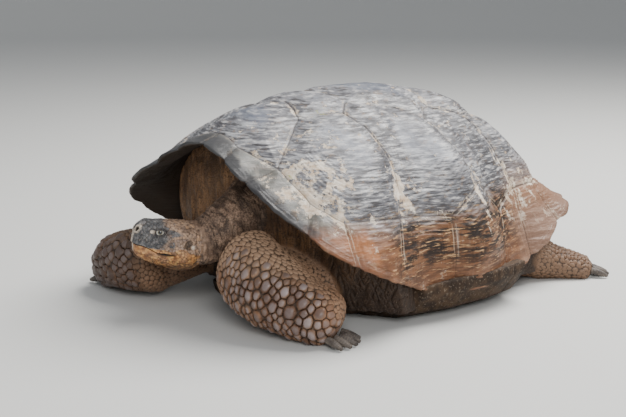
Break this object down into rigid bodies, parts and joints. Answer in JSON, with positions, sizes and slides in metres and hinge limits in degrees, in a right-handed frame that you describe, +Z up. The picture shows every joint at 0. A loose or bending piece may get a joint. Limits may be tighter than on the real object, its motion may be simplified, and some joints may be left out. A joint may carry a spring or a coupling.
{
  "type": "giant tortoise",
  "caption": "Life-size giant tortoise lying at rest, high domed shell over a deep front opening, head low and turned to its right, forearms laid out along the floor",
  "frame": {"origin": "on the floor, under the middle of the flat belly plate", "axes": "+X to the animal's left, +Y towards its tail, +Z up"},
  "size_m": [0.9072, 1.2699, 0.525],
  "materials": {
    "shell_horn": "satin, worn to cream along the seams",
    "belly_horn": "satin, scuffed",
    "skin": "dry, wrinkled and scaly",
    "head_skin": "dry, finely scaled",
    "eye": "wet gloss",
    "claw_horn": "satin"
  },
  "bodies": {
    "root": {"carapace": "shell_horn", "plastron": "belly_horn", "torso": "skin", "neck": "skin", "head": "head_skin", "eye_left": "eye", "eye_right": "eye", "foreleg_left": "skin", "claw_foreleg_left_1": "claw_horn", "claw_foreleg_left_2": "claw_horn", "claw_foreleg_left_3": "claw_horn", "claw_foreleg_left_4": "claw_horn", "claw_foreleg_left_5": "claw_horn", "foreleg_right": "skin", "claw_foreleg_right_1": "claw_horn", "claw_foreleg_right_2": "claw_horn", "claw_foreleg_right_3": "claw_horn", "claw_foreleg_right_4": "claw_horn", "claw_foreleg_right_5": "claw_horn", "hindleg_left": "skin", "claw_hindleg_left_1": "claw_horn", "claw_hindleg_left_2": "claw_horn", "claw_hindleg_left_3": "claw_horn", "claw_hindleg_left_4": "claw_horn", "hindleg_right": "skin", "claw_hindleg_right_1": "claw_horn", "claw_hindleg_right_2": "claw_horn", "claw_hindleg_right_3": "claw_horn", "claw_hindleg_right_4": "claw_horn", "tail": "skin"}
  },
  "joints": []
}
